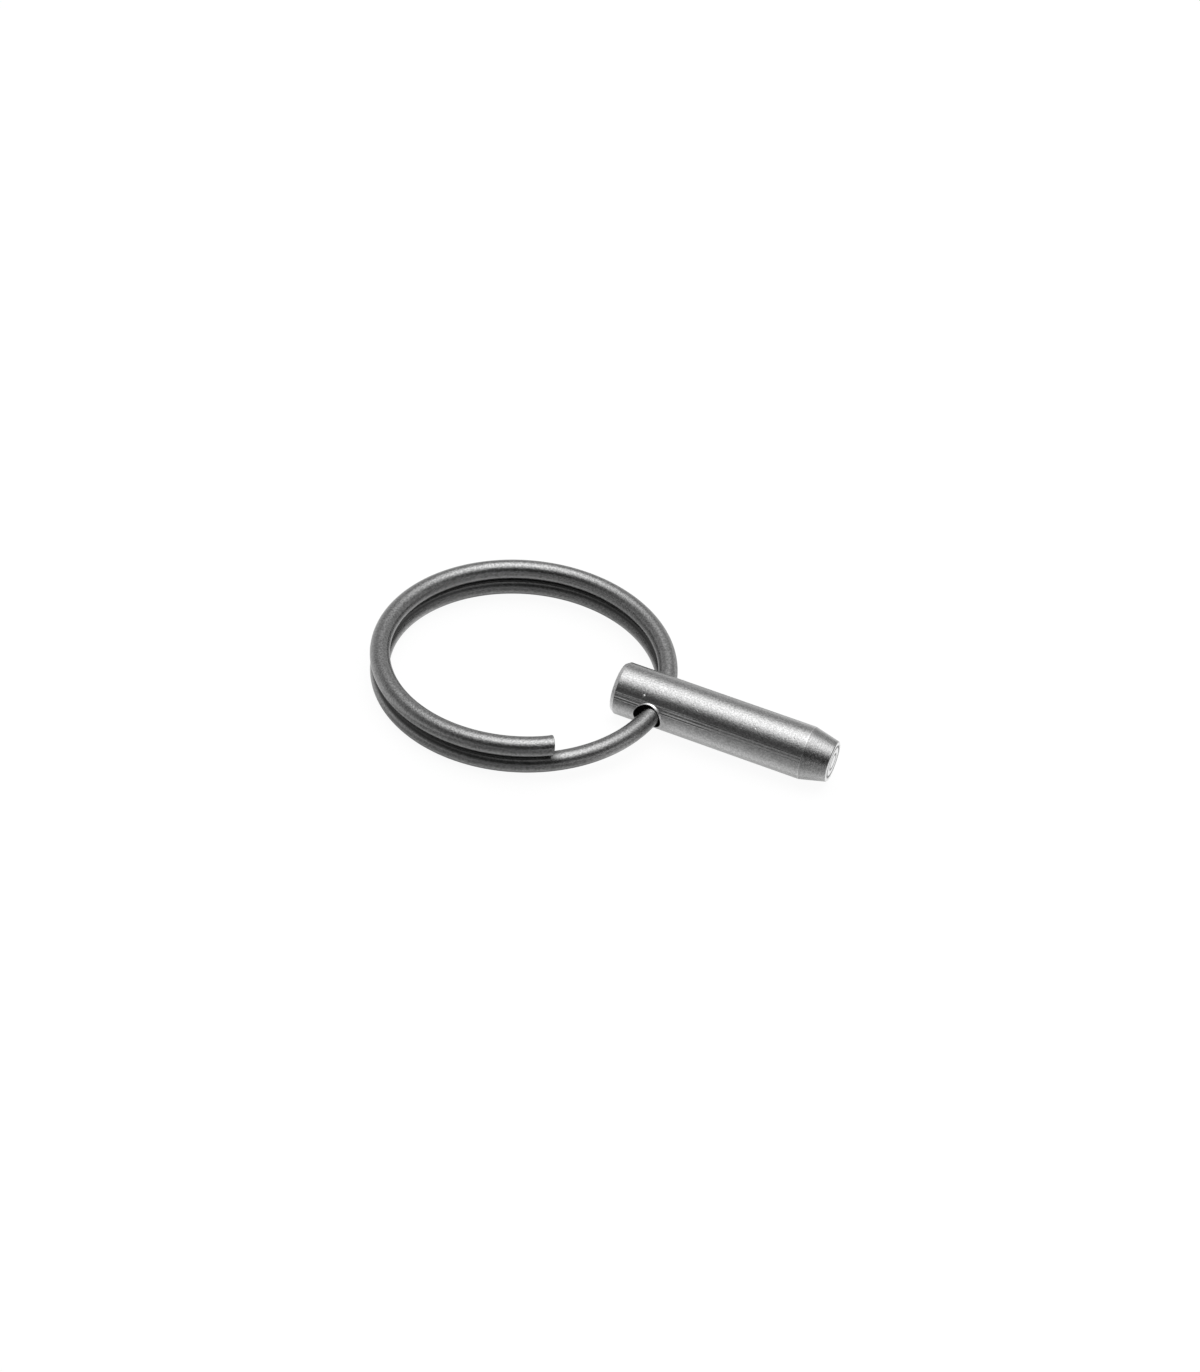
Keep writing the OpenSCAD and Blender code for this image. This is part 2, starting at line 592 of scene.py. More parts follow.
@dataclass
class LockingPin:
    """The turned pin: round bar with a chamfered head, a cross hole and a tapered lead-in with a flat tip.

    Places along the pin count from the hole's axis.
    """

    hole_centre: Array
    hole_way: Array
    radius: float
    head: float
    tip: float
    head_chamfer: float = 0.3  # off the radius, over head_run along the pin
    head_run: float = 0.45
    head_reach: float = 0.2  # how far the head lies beyond its solid
    taper_length: float = 3.0
    tip_radius: float = 2.3
    tip_break: float = 0.1
    hole_radius: float = 1.625
    mouth_break: float = 0.03
    burr_height: float = 0.2
    burr_width: float = 0.26
    burr_least: float = 1e-6  # width that keeps a quotient finite at the burr's tips
    burr_angle: float = 74.0
    edge_round: float = 0.06
    corner_round: float = 0.6
    corner_highlight_width: float = 0.04  # width of the painted highlight line past the taper's corner
    round_steps: int = 4
    hold: float = 0.04  # from a rounding to the row that holds its shading
    ring_width: float = 0.1
    ring_depth: float = 0.05
    nub_radius: float = 0.32
    nub_height: float = 0.04
    window_length: float = 3.0  # half the length of the window round a mouth
    columns: int = 192
    window_columns: int = 64
    window_rows: int = 40
    mouth_rows: int = 40
    mouth_bias: float = 2.5  # crowds the rows towards the mouth
    break_rows: int = 6
    bore_rows: int = 30
    face_step: float = 0.025

    @classmethod
    def from_frame(cls) -> "LockingPin":
        """Takes the pin's sizes from its solid, and the hole's axis from the joint on it.

        Returns:
            The pin.
        """
        low, high = (np.array(corner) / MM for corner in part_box("pin"))
        return cls(
            hole_centre=HOLE_CENTRE,
            hole_way=unit(np.array(JOINT["axis"])),
            radius=(high[2] - low[2]) / 2,
            head=low[0] - HOLE_CENTRE[0],
            tip=high[0] - HOLE_CENTRE[0],
        )

    @property
    def head_end(self) -> float:
        """Place along the pin of the head's face."""
        return self.head - self.head_reach

    @property
    def taper_start(self) -> float:
        """Place along the pin where the taper begins."""
        return self.tip - self.taper_length

    @property
    def hole_up(self) -> Array:
        """The direction square to both the pin and its hole, upwards."""
        return np.cross(PIN_WAY, self.hole_way)

    def window_along(self) -> Array:
        """Gives the place along the pin of each row of the window round a mouth."""
        return np.linspace(-self.window_length, self.window_length, self.window_rows + 1)

    def face(self, rim: float) -> Array:
        """Gives the turned tip face from its rim to the axis: grooves of bell shape, and a nub in the middle.

        Args:
            rim: Radius at which the face begins.

        Returns:
            Place along the pin and radius of each row.
        """
        radius = np.linspace(rim, 0, int(rim / self.face_step))
        rings = np.array([groove.radius_mm for groove in FACED_END.grooves])
        off_ring = (radius[:, None] - rings) / self.ring_width
        grooves = self.ring_depth * np.exp(-(off_ring**2)).sum(1)
        nub = self.nub_height * np.exp(-((radius / self.nub_radius) ** 4))
        return np.stack([self.tip - self.nub_height - grooves + nub, radius], 1)

    def profile(self) -> tuple[Array, int]:
        """Gives the pin's outline from the middle of the head's face to the middle of the tip's face.

        Returns:
            Place along the pin and radius of each row, and the row where the window round the hole begins.
        """
        head_corners = np.array([
            [self.head_end, 0],
            [self.head_end, self.radius - self.head_chamfer],
            [self.head_end + self.head_run, self.radius],
            [-self.window_length, self.radius],
        ])
        face_x = self.tip - self.nub_height
        tip_corners = np.array([
            [self.window_length, self.radius],
            [self.taper_start, self.radius],
            [face_x - self.tip_break, self.tip_radius],
            [face_x, self.tip_radius - self.tip_break],
            [face_x, self.tip_radius - 2 * self.tip_break],
        ])
        tip_rounds = [self.corner_round, self.edge_round, self.edge_round]
        head = rounded(head_corners, [self.edge_round] * 2, self.round_steps, self.hold)
        tip = rounded(tip_corners, tip_rounds, self.round_steps, self.hold)
        face = self.face(tip_corners[-1, 1])
        window = self.window_along()
        shank = np.stack([window, np.full_like(window, self.radius)], 1)
        return np.concatenate([head[:-1], shank, tip[1:], face[1:]]), len(head) - 1

    def band_slots(self, rows: Array) -> Array:
        """Gives the material slot of each band between neighbouring rows of the outline.

        The chamfer is painted pale, and so is a thin line just past the corner where the taper begins:
        painted highlights.

        Args:
            rows: Place along the pin and radius of each row.

        Returns:
            The slot's number of each band.
        """
        along, radius = ((rows[1:] + rows[:-1]) / 2).T
        past_corner = along - self.taper_start
        on_corner = (past_corner > 0) & (past_corner < self.corner_highlight_width)
        painted_pale = on_corner | (along < self.head_end + self.head_run)
        faced = radius < self.tip_radius - self.tip_break / 2
        tapered = rows[1:, 0] > self.taper_start
        slots = [PinSkin.CHAMFER.value, PinSkin.FACED.value, PinSkin.TAPER.value]
        return np.select([painted_pale, faced, tapered], slots, PinSkin.DRAWN.value)

    def skin(self, along: Array, radius: Array, angle: Array) -> Array:
        """Puts points on the surface that turns about the pin's axis.

        Args:
            along: Place along the pin.
            radius: Distance from the pin's axis.
            angle: Angle round the pin, in radians from the far end of the hole's axis, upwards.

        Returns:
            The points.
        """
        across = np.cos(angle)[..., None] * self.hole_way + np.sin(angle)[..., None] * self.hole_up
        return self.hole_centre + along[..., None] * PIN_WAY + radius[..., None] * across

    def hole_point(self, section: Array, along: Array) -> Array:
        """Puts points given in the hole's section, and along its axis, in place.

        Args:
            section: Place along the pin and upwards, in the hole's section.
            along: Place along the hole's axis.

        Returns:
            The points.
        """
        in_section = section[..., :1] * PIN_WAY + section[..., 1:] * self.hole_up
        return self.hole_centre + in_section + along[..., None] * self.hole_way

    def burr(self, flat: Array, reach: float) -> tuple[Array, Array]:
        """Gives how far the drill's burr stands up: a crescent between the mouth and the mouth moved aside.

        It slopes evenly from its outer edge up to the mouth, and both its width and its height run out to
        nothing at its tips as a half circle does.

        Args:
            flat: Place along the pin, and arc length round it from the mouth's middle.
            reach: The mouth's radius.

        Returns:
            The burr's height, and which points lie on it.
        """
        slant = np.radians(self.burr_angle)
        ahead = flat[..., 0] * np.cos(slant) + flat[..., 1] * np.sin(slant)
        aside = flat[..., 1] * np.cos(slant) - flat[..., 0] * np.sin(slant)
        size = np.sqrt(np.clip(1 - (aside / reach) ** 2, 0, 1))
        past = (ahead - reach * size) / np.maximum(self.burr_width * size, self.burr_least)
        on_burr = (past < 1) & (ahead > 0) & (size > 0)
        return np.where(on_burr, self.burr_height * size * np.clip(1 - past, 0, 1), 0.0), on_burr

    def mouth(self, mouth: Mouth, border: Array) -> tuple[Array, Array]:
        """Gives the surface from the border of a mouth's window in to the wall of the hole.

        A row runs from the window's border to the mouth straight over the unrolled skin, then over the broken
        edge, which is a parabola that touches both the skin and the hole's wall. On the near mouth the drill
        left a burr.

        Args:
            mouth: Which mouth.
            border: Place along the pin, and arc length round it from the mouth's middle, of the border.

        Returns:
            Points by row and border point, without the border, and which of them lie on the burr.
        """
        way = np.arctan2(border[:, 1], border[:, 0])
        reach = self.hole_radius + self.mouth_break
        lip = np.stack([reach * np.cos(way), self.radius * np.arcsin(reach * np.sin(way) / self.radius)], 1)
        left = 1 - (np.arange(1, self.mouth_rows + 1) / self.mouth_rows)[:, None, None]
        flat = border + (lip - border) * (1 - left**self.mouth_bias)
        turn = flat[..., 1] / self.radius
        lift, on_burr = self.burr(flat, reach)
        if mouth is Mouth.FAR:
            lift, on_burr = np.zeros_like(lift), np.zeros_like(on_burr)
        skin = self.skin(flat[..., 0], self.radius + lift, turn if mouth is Mouth.FAR else np.pi - turn)
        wall = self.hole_radius * np.stack([np.cos(way), np.sin(way)], 1)
        height = np.sqrt(self.radius**2 - wall[:, 1] ** 2) + lift[-1]
        corner = self.hole_point(wall, mouth.value * height)
        foot = self.hole_point(wall, mouth.value * (height - self.mouth_break))
        t = (np.arange(1, self.break_rows + 1) / self.break_rows)[:, None, None]
        edge = (1 - t) ** 2 * skin[-1] + 2 * t * (1 - t) * corner + t**2 * foot
        return np.concatenate([skin, edge]), np.concatenate([on_burr, np.repeat(on_burr[-1:], len(t), 0)])

    def add_skin(self, shell: Shell) -> Array:
        """Adds the outline turned about the axis, less a window round each mouth of the hole.

        Args:
            shell: The surface in the making.

        Returns:
            Vertex numbers of the rows that the windows take up, by row and column round the pin.
        """
        rows, first = self.profile()
        inner = rows[1:-1]
        angle = 2 * np.pi * np.arange(self.columns) / self.columns
        along, turn = np.meshgrid(inner[:, 0], angle, indexing="ij")
        radius = np.broadcast_to(inner[:, 1:], along.shape)
        ids = shell.add_points(self.skin(along, radius, turn))
        poles = shell.add_points(self.skin(*rows[[0, -1]].T, np.zeros(2)))
        band = np.repeat(np.arange(len(inner) - 1), self.columns)
        column = np.tile(np.arange(self.columns), len(inner) - 1)
        from_window = (column + self.window_columns // 2) % (self.columns // 2)
        row = band - (first - 1)
        kept = (row < 0) | (row >= self.window_rows) | (from_window >= self.window_columns)
        faces = quads(ids, closed=True)
        slot_of_face = self.band_slots(inner)[band]
        for slot in (PinSkin.DRAWN, PinSkin.TAPER, PinSkin.CHAMFER, PinSkin.FACED):
            shell.add_faces(faces[kept & (slot_of_face == slot.value)], slot)
        for ring, pole in zip(ids[[0, -1]], poles):
            shell.add_faces(fan(ring, pole), PinSkin.FACED)
        return ids[first - 1 : first + self.window_rows]

    def window_border(self) -> tuple[Array, Array]:
        """Walks round the border of a mouth's window.

        Returns:
            The row of each point, from the window's first, and its column, from the one through the mouth.
        """
        long, wide = self.window_rows, self.window_columns
        row = [np.arange(long), np.full(wide, long), np.arange(long, 0, -1), np.zeros(wide, int)]
        column = [np.zeros(long, int), np.arange(wide), np.full(long, wide), np.arange(wide, 0, -1)]
        return np.concatenate(row), np.concatenate(column) - wide // 2

    def add_hole(self, shell: Shell, window: Array) -> None:
        """Adds the hole: each mouth from its window's border inwards, and straight rows of bore between them.

        Args:
            shell: The surface in the making.
            window: Vertex numbers of the rows that the windows take up, by row and column round the pin.
        """
        row, column = self.window_border()
        arc = 2 * np.pi * self.radius / self.columns
        border = np.stack([self.window_along()[row], column * arc], 1)
        feet = []
        for mouth in Mouth:
            place = column if mouth is Mouth.FAR else self.columns // 2 - column
            surface, burred = self.mouth(mouth, border)
            ids = shell.add_points(surface)
            around = quads(np.concatenate([window[row, place % self.columns][None], ids]), closed=True)
            on_burr = (burred & np.roll(burred, -1, axis=1)).ravel()
            shell.add_faces(around[~on_burr], PinSkin.DRAWN)
            # The burr takes the near-white faced finish: a painted highlight on top of the light its slope
            # catches.
            shell.add_faces(around[on_burr], PinSkin.FACED)
            feet.append((ids[-1:], surface[-1]))
        (far_ids, far), (near_ids, near) = feet
        share = (np.arange(1, self.bore_rows) / self.bore_rows)[:, None, None]
        bore_ids = shell.add_points(far + (near - far) * share)
        shell.add_faces(quads(np.concatenate([far_ids, bore_ids, near_ids]), closed=True), PinSkin.BORE)

    def build(self) -> bpy.types.Object:
        """Builds the pin as one closed surface, its turned skin and the hole through it.

        Returns:
            The pin's object.
        """
        shell = Shell()
        window = self.add_skin(shell)
        self.add_hole(shell, window)
        return self.dress(shell.piece("pin_body"))

    def dress(self, piece: bpy.types.Object) -> bpy.types.Object:
        """Gives the pin its finishes, and puts it on its body in place of its solid.

        Args:
            piece: The pin's object.

        Returns:
            The same object.
        """
        for finish in (BRIGHT_BAR, TURNED_TAPER, FACED_END, BORE_PAINTED_SHADE, CHAMFER_AND_CORNER_HIGHLIGHT):
            piece.data.materials.append(finish.material())
        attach(piece, "pin")
        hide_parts("pin")
        return piece


class WireSkin(Enum):
    """The stretches of the wire's surface, by their material slot."""

    DRAWN = 0
    CUT = 1


@dataclass
class SplitRing:
    """The split ring: round spring wire, close-wound into not quite two turns that lean on the table."""

    hole_centre: Array
    wire_radius: float = 1.075
    ring_radius: float = 16.0
    turn_gap: float = 0.2
    upper_angle: float = 301.0  # from the hole to the wire's upper end
    lower_angle: float = 344.0  # from the hole to the wire's lower end
    touch_angle: float = 200.0  # from the lower end back to the point that rests on the table
    end_break: float = 0.05
    cut_slant: float = 0.14
    cut_flare: float = 0.03
    cut_reach: float = 1.2
    wire_offset: float = 0.37  # from the hole's axis to the wire, along the pin
    ring_turn: float = 4.5  # how far the ring is turned in the hole's play
    upper_sag: float = 0.1
    upper_swell: float = 0.03
    sag_from: float = 20.0
    sag_to: float = 70.0
    turn_shade_edge: float = 0.4  # height on the section, from -1 to 1, where the painted shade begins
    turn_shade_core: float = 0.75  # height on the section where the painted shade is full
    # Share of painted shade taken off the very top under the upper turn, and degrees over which it runs out
    # past the upper turn's end.
    turn_shade_top_relief: float = 0.5
    turn_shade_run: float = 4.0
    stations: int = 900
    sides: int = 48
    end_steps: int = 6
    cap_rows: int = 6

    @classmethod
    def from_frame(cls) -> "SplitRing":
        """Hangs the ring on the hole that the joint names."""
        return cls(hole_centre=HOLE_CENTRE)

    @property
    def rise(self) -> float:
        """Height that the helix gains for each radian."""
        return (2 * self.wire_radius + self.turn_gap) / (2 * np.pi)

    def lean(self) -> tuple[Array, float]:
        """Works out how the ring leans on the table.

        It rests on the wire's lower end and on a point touch_angle back along the lower turn. The plane
        through both, tangent to the wire at the second, gives the slopes along and across the end's radius.

        Returns:
            The unit vector of the axis that the ring leans about, and the angle.
        """
        touch, end = np.radians([self.touch_angle, self.lower_angle])
        grade = self.rise / self.ring_radius
        along = -grade * (np.sin(touch) - touch * np.cos(touch)) / (1 - np.cos(touch))
        across = grade * (touch / np.tan(touch / 2) - 1)
        slope_x = along * np.cos(end) + across * np.sin(end)
        slope_y = across * np.cos(end) - along * np.sin(end)
        return unit(np.array([-slope_y, slope_x, 0.0])), np.degrees(np.arctan(np.hypot(slope_x, slope_y)))

    def upper(self, angle: Array) -> Array:
        """Gives the share of the upper turn's own form: a smooth step from sag_from to sag_to along it."""
        return smooth_step(-np.degrees(angle), self.sag_from, self.sag_to)

    def centre_line(self, angle: Array) -> Array:
        """Gives the wire's centre line: a right-handed helix that passes the hole at angle 0.

        The upper turn sags by upper_sag towards the lower one.

        Args:
            angle: Angle from the hole towards the lower end, in radians.

        Returns:
            The points.
        """
        x = self.ring_radius * (np.cos(angle) - 1)
        y = -self.ring_radius * np.sin(angle)
        return np.stack([x, y, -self.rise * angle - self.upper_sag * self.upper(angle)], -1)

    def laid(self, points: Array) -> Array:
        """Leans points of the wound ring on the table, turns them in the hole's play and puts them in place.

        Args:
            points: Points of the wound ring, from the centre line at the hole.

        Returns:
            The points in place.
        """
        axis, angle = self.lean()
        end = self.centre_line(np.radians(self.lower_angle))
        height = self.wire_radius - turned(end, axis, angle)[2]
        start = np.array([self.hole_centre[0] + self.wire_offset, self.hole_centre[1], height])
        return start + turned(turned(points, axis, angle), UP, self.ring_turn)

    def profile(self) -> tuple[Array, Array]:
        """Gives the wire's radius along its length, from the middle of one cut face to that of the other.

        The edge of each cut face is a quarter circle of end_break.

        Returns:
            Angle along the helix in radians, and radius, of each row.
        """
        first, last = np.radians([-self.upper_angle, self.lower_angle])
        quarter = np.linspace(0, np.pi / 2, self.end_steps + 1)
        inset = self.end_break * (1 - np.sin(quarter)) / self.ring_radius
        shrink = self.end_break * (1 - np.cos(quarter))
        flat = np.linspace(0, self.wire_radius - self.end_break, self.cap_rows, endpoint=False)
        begin = np.concatenate([flat, self.wire_radius - shrink[::-1]])
        begin_at = np.concatenate([np.zeros_like(flat), inset[::-1]])
        hold = 2 * self.end_break / self.ring_radius
        run = np.linspace(first + hold, last - hold, self.stations)
        angle = np.concatenate([first + begin_at, run, last - begin_at[::-1]])
        radius = np.concatenate([begin, np.full(self.stations, self.wire_radius), begin[::-1]])
        return angle, radius

    def swept(self, angle: Array, radius: Array, turn: Array) -> Array:
        """Carries a circle along the helix, square to the wire.

        The upper turn is wider by upper_swell. Towards its cut, over cut_reach, the wire flares, and the
        circle's points slide along the helix by their height in it, so that the cut comes out at a slant. The
        slide grows with the square of the way gone and the flare with its fourth power.

        Args:
            angle: Angle along the helix in radians, of each row.
            radius: Radius of each row.
            turn: Angle round the section in radians, of each column.

        Returns:
            Points of the wound ring by row and column.
        """
        from_cut = (angle - angle[0]) * self.ring_radius
        bend = np.clip(1 - from_cut / self.cut_reach, 0, 1) ** 2
        swell = self.upper_swell / self.wire_radius * self.upper(angle)
        flared = radius * (1 + self.cut_flare * bend**2 + swell)
        slid = self.cut_slant / self.ring_radius * (flared * bend)[:, None] * np.sin(turn)
        spread = angle[:, None] + slid
        outward = np.stack([np.cos(spread), -np.sin(spread), np.zeros_like(spread)], -1)
        way = unit(np.stack([
            -self.ring_radius * np.sin(spread),
            -self.ring_radius * np.cos(spread),
            np.full_like(spread, -self.rise),
        ], -1))
        sideways = np.cross(outward, way)
        circle = np.cos(turn)[:, None] * outward + np.sin(turn)[:, None] * sideways
        return self.centre_line(spread) + flared[:, None, None] * circle

    def straight(self, angle: Array, radius: Array, turn: Array) -> Array:
        """Gives the same points as if the wire were pulled straight, along X.

        Args:
            angle: Angle along the helix in radians, of each row.
            radius: Radius of each row.
            turn: Angle round the section in radians, of each column.

        Returns:
            Points of the straight wire by row and column.
        """
        length = np.broadcast_to((angle * self.ring_radius)[:, None], (len(angle), len(turn)))
        return np.stack([length, radius[:, None] * np.cos(turn), radius[:, None] * np.sin(turn)], -1)

    def turn_shade(self, angle: Array, radius: Array, turn: Array) -> Array:
        """Gives the share of painted shade on the wire: it lies on top of the lower turn, and not on the cut
        faces.

        The share is a smooth step of the sine of the angle round the section, which is -1 straight up, and
        stands for the shade that the upper turn casts. Under the upper turn the very top gets less of it, by
        turn_shade_top_relief.
        Beyond the upper turn's end, where the lower one lies open, the painted shade runs out over
        turn_shade_run degrees.

        Args:
            angle: Angle along the helix in radians, of each row.
            radius: Radius of each row.
            turn: Angle round the section in radians, of each column.

        Returns:
            The share of each point by row and column.
        """
        past_end = (np.degrees(angle)[:, None] - 360 + self.upper_angle) / self.turn_shade_run
        covered = np.clip(past_end + 1, 0, 1) * (radius > self.wire_radius - self.end_break)[:, None]
        top = np.clip((-np.sin(turn) - self.turn_shade_core) / (1 - self.turn_shade_core), 0, 1)
        top_relief = self.turn_shade_top_relief * np.clip(past_end, 0, 1) * top
        return covered * smooth_step(-np.sin(turn), self.turn_shade_edge, self.turn_shade_core) * (1 - top_relief)

    def build(self) -> bpy.types.Object:
        """Builds the ring as one closed surface: the swept wire with a pole in the middle of each cut face.

        Returns:
            The ring's object.
        """
        angle, radius = self.profile()
        turn = 2 * np.pi * np.arange(self.sides) / self.sides
        rows = self.laid(self.swept(angle, radius, turn))
        shell = Shell()
        ids = shell.add_points(rows[1:-1])
        poles = shell.add_points(rows[[0, -1], 0])
        bands = quads(ids, closed=True).reshape(-1, self.sides, 4)
        cut = self.cap_rows - 1
        cut_bands = np.concatenate([bands[:cut], bands[-cut:]])
        shell.add_faces(bands[cut:-cut].reshape(-1, 4), WireSkin.DRAWN)
        shell.add_faces(cut_bands.reshape(-1, 4), WireSkin.CUT)
        for ring, pole in zip(ids[[0, -1]], poles):
            shell.add_faces(fan(ring, pole), WireSkin.CUT)
        piece = shell.piece("split_ring_wire")
        for name, kind, key, grid in (
            (WIRE_PLACE, "FLOAT_VECTOR", "vector", self.straight(angle, radius, turn)),
            (WIRE_TURN_SHADE, "FLOAT", "value", self.turn_shade(angle, radius, turn)),
        ):
            values = np.concatenate([grid[1:-1].ravel(), grid[[0, -1], 0].ravel()])
            piece.data.attributes.new(name, kind, "POINT").data.foreach_set(key, values.astype(np.float32))
        return self.dress(piece)

    def dress(self, piece: bpy.types.Object) -> bpy.types.Object:
        """Gives the ring its finishes, and puts it on its body in place of its solid.

        Args:
            piece: The ring's object.

        Returns:
            The same object.
        """
        for finish in (DARK_WIRE, CUT_WIRE):
            piece.data.materials.append(finish.material())
        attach(piece, "ring")
        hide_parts("split_ring")
        return piece


@dataclass
class PhotoCamera:
    """The camera of the picture, found from the object's outline in it."""

    target: Array
    image: tuple[int, int] = (1200, 1372)
    target_pixel: tuple[float, float] = (657.01, 699.55)  # where the picture shows the hole's middle
    elevation: float = 38.212
    azimuth: float = 19.029
    roll: float = 7.4
    distance: float = 278.706
    pixels_per_mm: float = 9.107  # at the target's distance
    sensor_mm: float = 36.0
    nearest: float = 10.0
    farthest: float = 20000.0

    @property
    def back(self) -> Array:
        """The level direction away from the camera."""
        return turned(np.array([0.0, 1.0, 0.0]), UP, self.azimuth)

    @property
    def right(self) -> Array:
        """The level direction to the camera's right."""
        return turned(PIN_WAY, UP, self.azimuth)

    def build(self) -> bpy.types.Object:
        """Makes the camera and gives it to the scene.

        It looks at the target from its elevation and distance, rolled about its own axis, and is then shifted
        in its own plane until the target falls on target_pixel.

        Returns:
            The camera's object.
        """
        high, roll = np.radians([self.elevation, self.roll])
        ahead = np.cos(high) * self.back - np.sin(high) * UP
        right = np.cos(roll) * self.right + np.sin(roll) * np.cross(self.right, ahead)
        up = np.cross(right, ahead)
        middle = (np.array(self.image) - 1) / 2
        off = (np.array(self.target_pixel) - middle) / self.pixels_per_mm
        eye = self.target - ahead * self.distance - right * off[0] + up * off[1]
        focal_pixels = self.pixels_per_mm * self.distance
        data = bpy.data.cameras.new("photo_camera")
        data.sensor_width = self.sensor_mm
        data.lens = self.sensor_mm * focal_pixels / max(self.image)
        data.clip_start = self.nearest * MM
        data.clip_end = self.farthest * MM
        camera = bpy.data.objects.new("photo_camera", data)
        placed = np.eye(4)
        placed[:3, :3] = np.stack([right, up, -ahead], 1)
        placed[:3, 3] = eye * MM
        camera.matrix_world = Matrix(placed.tolist())
        bpy.context.scene.collection.objects.link(camera)
        bpy.context.scene.camera = camera
        return camera


@dataclass(frozen=True)
class WhiteAcrylic:
    """White satin acrylic of the table: the camera sees it white with the object's faint shadow.

    Its matt colour is dark and its lift is near white, which together keep that shadow faint.

    Metal sees its satin face, a glow a little below white with a soft mirror of the room over it. Left of the
    ring and past the tip that face goes part of the way to plain white, painted patches of brighter light,
    and at both sides of the ring its glow is dimmer, a painted shadow of the ring.
    """

    name: str = "white_acrylic"
    colour: str = "#606060"
    lift: float = 0.93
    glow: float = 0.9
    dim_glow: float = 0.35  # what the glow falls to at both sides of the ring: its painted shadow
    # Each pair says where a smooth step begins and ends: aside in y, left in x, the others in x + slant * y.
    dim_aside: tuple[float, float] = (4.0, 8.0)
    dim_right: tuple[float, float] = (5.0, -1.0)
    dim_left: tuple[float, float] = (-27.0, -20.0)
    slant: float = 0.4  # how far the steps' edges lean, in x for each y
    # left_white and tip_white: painted patches of brighter light, left of the ring and past the tip
    left_white: float = 0.4
    tip_white: float = 0.8
    tip_reach: tuple[float, float] = (24.5, 29.0)
    mirror: float = 0.3
    roughness: float = 0.35

    def seen_by_metal(self, tree: Tree) -> Node:
        """Gives the satin face: smooth steps of the place on the table set its glow and its share of mirror.

        Args:
            tree: The material's node tree.

        Returns:
            The node that gives the shader.
        """
        spot = add_node(tree, "ShaderNodeTexCoord", {})
        part = add_node(tree, "ShaderNodeSeparateXYZ", {0: spot.outputs["Object"]})
        aside = add_node(tree, "ShaderNodeMath", {0: part.outputs["Y"]}, operation="ABSOLUTE")
        slanted = {0: part.outputs["Y"], 1: self.slant, 2: part.outputs["X"]}
        ahead = add_node(tree, "ShaderNodeMath", slanted, operation="MULTIPLY_ADD")
        steps = []
        for value, (first, last) in (
            (aside, self.dim_aside),
            (ahead, self.dim_right),
            (part.outputs["X"], self.dim_left),
            (ahead, self.tip_reach),
        ):
            ends = {"Value": value, "From Min": first * MM, "From Max": last * MM}
            steps.append(add_node(tree, "ShaderNodeMapRange", ends, interpolation_type="SMOOTHSTEP"))
        dimming = self.glow - self.dim_glow
        for step in steps[:3]:
            dimming = add_node(tree, "ShaderNodeMath", {0: dimming, 1: step}, operation="MULTIPLY")
        level = add_node(tree, "ShaderNodeMath", {0: self.glow, 1: dimming}, operation="SUBTRACT")
        from_left, past_tip = steps[2:]
        fading = {"Value": from_left, "To Min": self.left_white, "To Max": 0.0}
        left = add_node(tree, "ShaderNodeMapRange", fading)
        both = {0: past_tip, 1: self.tip_white, 2: left}
        white = add_node(tree, "ShaderNodeMath", both, operation="MULTIPLY_ADD")
        facing = add_node(tree, "ShaderNodeLayerWeight", {}).outputs["Facing"]
        gloss = add_node(tree, "ShaderNodeMapRange", {"Value": facing, "To Min": self.mirror})
        share = add_node(tree, "ShaderNodeMapRange", {"Value": white, "To Min": gloss, "To Max": 0.0})
        strength = add_node(tree, "ShaderNodeMapRange", {"Value": white, "To Min": level, "To Max": 1.0})
        glow = add_node(tree, "ShaderNodeEmission", {"Strength": strength})
        satin = add_node(tree, "ShaderNodeBsdfGlossy", {"Roughness": self.roughness})
        return add_node(tree, "ShaderNodeMixShader", {0: share, 1: glow, 2: satin})

    def material(self) -> bpy.types.Material:
        """Makes the material, with one face for metal and another for the camera.

        Returns:
            The new material.
        """
        material = bpy.data.materials.new(self.name)
        tree = empty_tree(material)
        matt = add_node(tree, "ShaderNodeBsdfDiffuse", {"Color": linear(self.colour)})
        lift = add_node(tree, "ShaderNodeEmission", {"Strength": self.lift})
        lit = add_node(tree, "ShaderNodeAddShader", {0: matt, 1: lift})
        path = add_node(tree, "ShaderNodeLightPath", {})
        faces = {0: path.outputs["Is Glossy Ray"], 1: lit, 2: self.seen_by_metal(tree)}
        top = add_node(tree, "ShaderNodeMixShader", faces)
        add_node(tree, "ShaderNodeOutputMaterial", {"Surface": top})
        return material


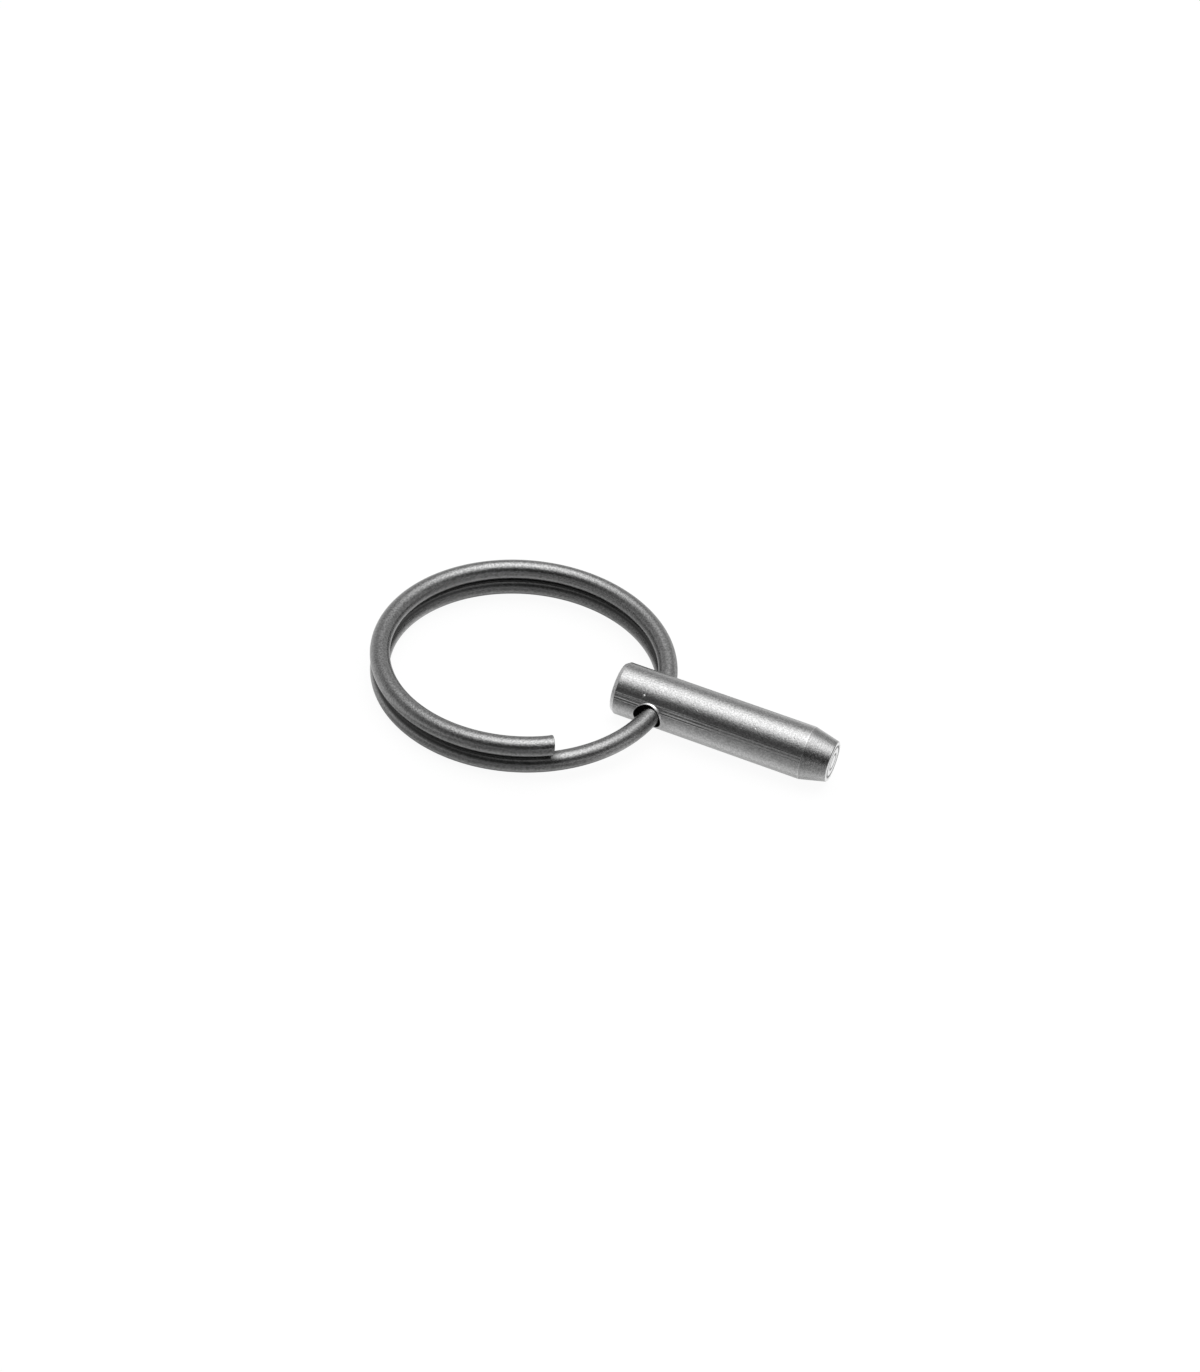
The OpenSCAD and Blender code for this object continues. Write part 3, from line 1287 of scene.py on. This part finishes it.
@dataclass
class Studio:
    """A white satin table under a wide soft light, in a room that is dark at the camera's side."""

    back: Array  # level direction away from the camera
    right: Array  # level direction to the camera's right
    light_colour: str = "#FFFFFF"
    light_spread: float = 53.0  # from the light's middle to its rim
    light_tilt: float = 4.6  # of its middle, to the back
    light_lean: float = 3.0  # of its middle, to the right
    light_level: float = 2.1
    room_front: float = 0.02
    room_back: float = 0.46
    haze: float = 0.22
    haze_top: float = 0.35  # height at which the haze ends, as the sine of its elevation
    table_size: float = 6000.0
    table_top: WhiteAcrylic = WhiteAcrylic()

    def build(self) -> None:
        """Sets the view, and builds the room with its light, and the table."""
        bpy.context.scene.view_settings.view_transform = "Standard"
        self.room()
        self.table()

    def room(self) -> None:
        """Makes the world: a soft light overhead, walls that brighten to the back, and haze at their foot.

        The soft light falls from its middle to its rim as a smooth step of the angle between them. The walls
        brighten evenly with depth, and the haze thins out evenly with height.
        """
        world = bpy.data.worlds.new("room")
        tree = empty_tree(world)
        tilt, lean, spread = np.radians([self.light_tilt, self.light_lean, self.light_spread]).tolist()
        middle = unit(UP + np.tan(tilt) * self.back + np.tan(lean) * self.right)
        way = add_node(tree, "ShaderNodeTexCoord", {}).outputs["Generated"]
        near = add_node(tree, "ShaderNodeVectorMath", {0: way, 1: middle}, operation="DOT_PRODUCT")
        off = add_node(tree, "ShaderNodeMath", {0: near.outputs["Value"]}, operation="ARCCOSINE")
        deep = add_node(tree, "ShaderNodeVectorMath", {0: way, 1: self.back}, operation="DOT_PRODUCT")
        part = add_node(tree, "ShaderNodeSeparateXYZ", {0: way})
        level = 0.0
        for value, first, last, low, high, kind in (
            (off, spread, 0.0, 0.0, self.light_level, "SMOOTHSTEP"),
            (deep.outputs["Value"], -1.0, 1.0, self.room_front, self.room_back, "LINEAR"),
            (part.outputs["Z"], 0.0, self.haze_top, self.haze, 0.0, "LINEAR"),
        ):
            ends = {"Value": value, "From Min": first, "From Max": last, "To Min": low, "To Max": high}
            share = add_node(tree, "ShaderNodeMapRange", ends, interpolation_type=kind)
            level = add_node(tree, "ShaderNodeMath", {0: share, 1: level}, operation="ADD")
        light = {"Color": linear(self.light_colour), "Strength": level}
        sky = add_node(tree, "ShaderNodeBackground", light)
        add_node(tree, "ShaderNodeOutputWorld", {"Surface": sky})
        bpy.context.scene.world = world

    def table(self) -> None:
        """Makes the table: a flat grid of four faces under the object."""
        line = np.linspace(-0.5, 0.5, 3) * self.table_size
        x, y = np.meshgrid(line, line, indexing="ij")
        points = np.stack([x, y, np.zeros_like(x)], -1).reshape(-1, 3)
        faces = quads(np.arange(x.size).reshape(x.shape))[:, ::-1]
        mesh = bpy.data.meshes.new("table")
        mesh.from_pydata((points * MM).tolist(), [], faces.tolist())
        mesh.materials.append(self.table_top.material())
        table = bpy.data.objects.new("table", mesh)
        bpy.context.scene.collection.objects.link(table)


def main() -> None:
    """Builds the camera, the studio and both pieces."""
    pin = LockingPin.from_frame()
    ring = SplitRing.from_frame()
    camera = PhotoCamera(target=pin.hole_centre)
    camera.build()
    Studio(back=camera.back, right=camera.right).build()
    for piece in (pin.build(), ring.build()):
        log.info("%s: %d faces", piece.name, len(piece.data.polygons))


if __name__ == "__main__":
    logging.basicConfig(level=logging.INFO)
    main()
